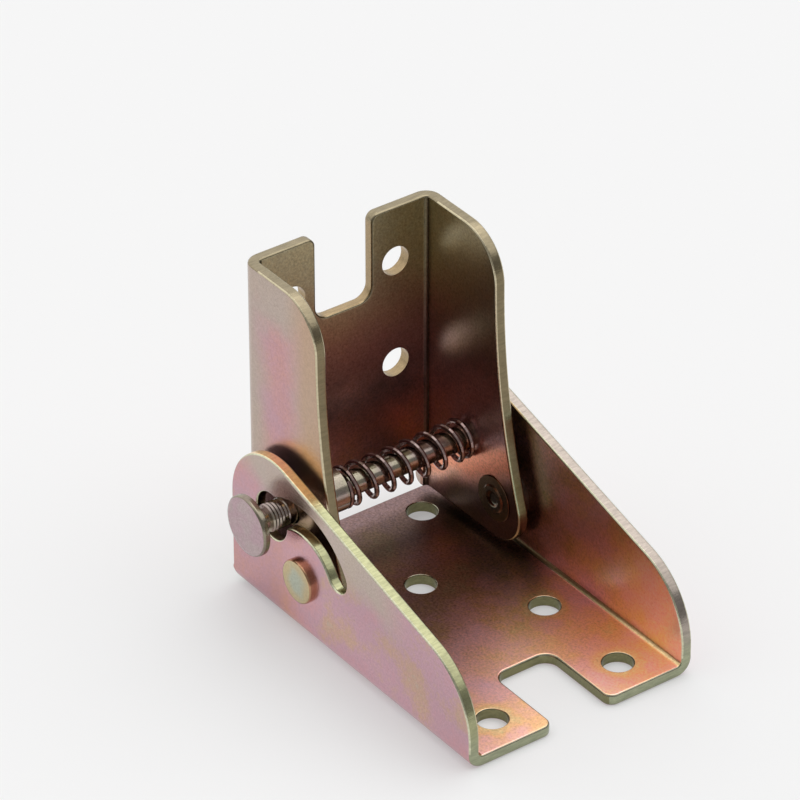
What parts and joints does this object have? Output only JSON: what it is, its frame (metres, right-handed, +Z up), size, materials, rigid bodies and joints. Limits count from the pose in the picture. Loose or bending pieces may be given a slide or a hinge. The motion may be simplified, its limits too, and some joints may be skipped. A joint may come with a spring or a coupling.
{
  "type": "folding table leg hinge",
  "caption": "Self-locking folding hinge for a table leg: a leg channel pivots inside a base channel and is released by a sprung push button.",
  "frame": {"origin": "middle of the centre screw hole, on the underside of the base bracket's floor", "axes": "+X towards the base bracket's notched free end, +Y from the push button's side to the plain side, +Z up away from the underside, along the upright leg bracket"},
  "size_m": [0.0646, 0.0498, 0.0592],
  "materials": {
    "zinc_sheet": "satin, iridescent yellow zinc plating",
    "zinc_turned": "satin, iridescent yellow zinc plating",
    "spring_wire": "glossy, dark zinc plating"
  },
  "bodies": {
    "base": {"base_bracket": "zinc_sheet", "left_pivot_rivet": "zinc_turned", "right_pivot_rivet": "zinc_turned", "left_pivot_washer": "zinc_turned", "right_pivot_washer": "zinc_turned"},
    "leg": {"leg_bracket": "zinc_sheet", "lock_spring": "spring_wire"},
    "plunger": {"lock_pin": "zinc_turned", "push_button": "zinc_turned"}
  },
  "joints": [
    {"name": "leg_fold", "type": "hinge", "parent": "base", "child": "leg", "pos_m": [-0.0022, 0, 0.0108], "axis": [0, 1, 0], "range_deg": [0, 90]},
    {"name": "button_press", "type": "slide", "parent": "leg", "child": "plunger", "axis": [0, 1, 0], "range_m": [0, 0.0031], "stiffness_N_per_m": 1200, "deforming": ["lock_spring"]}
  ]
}
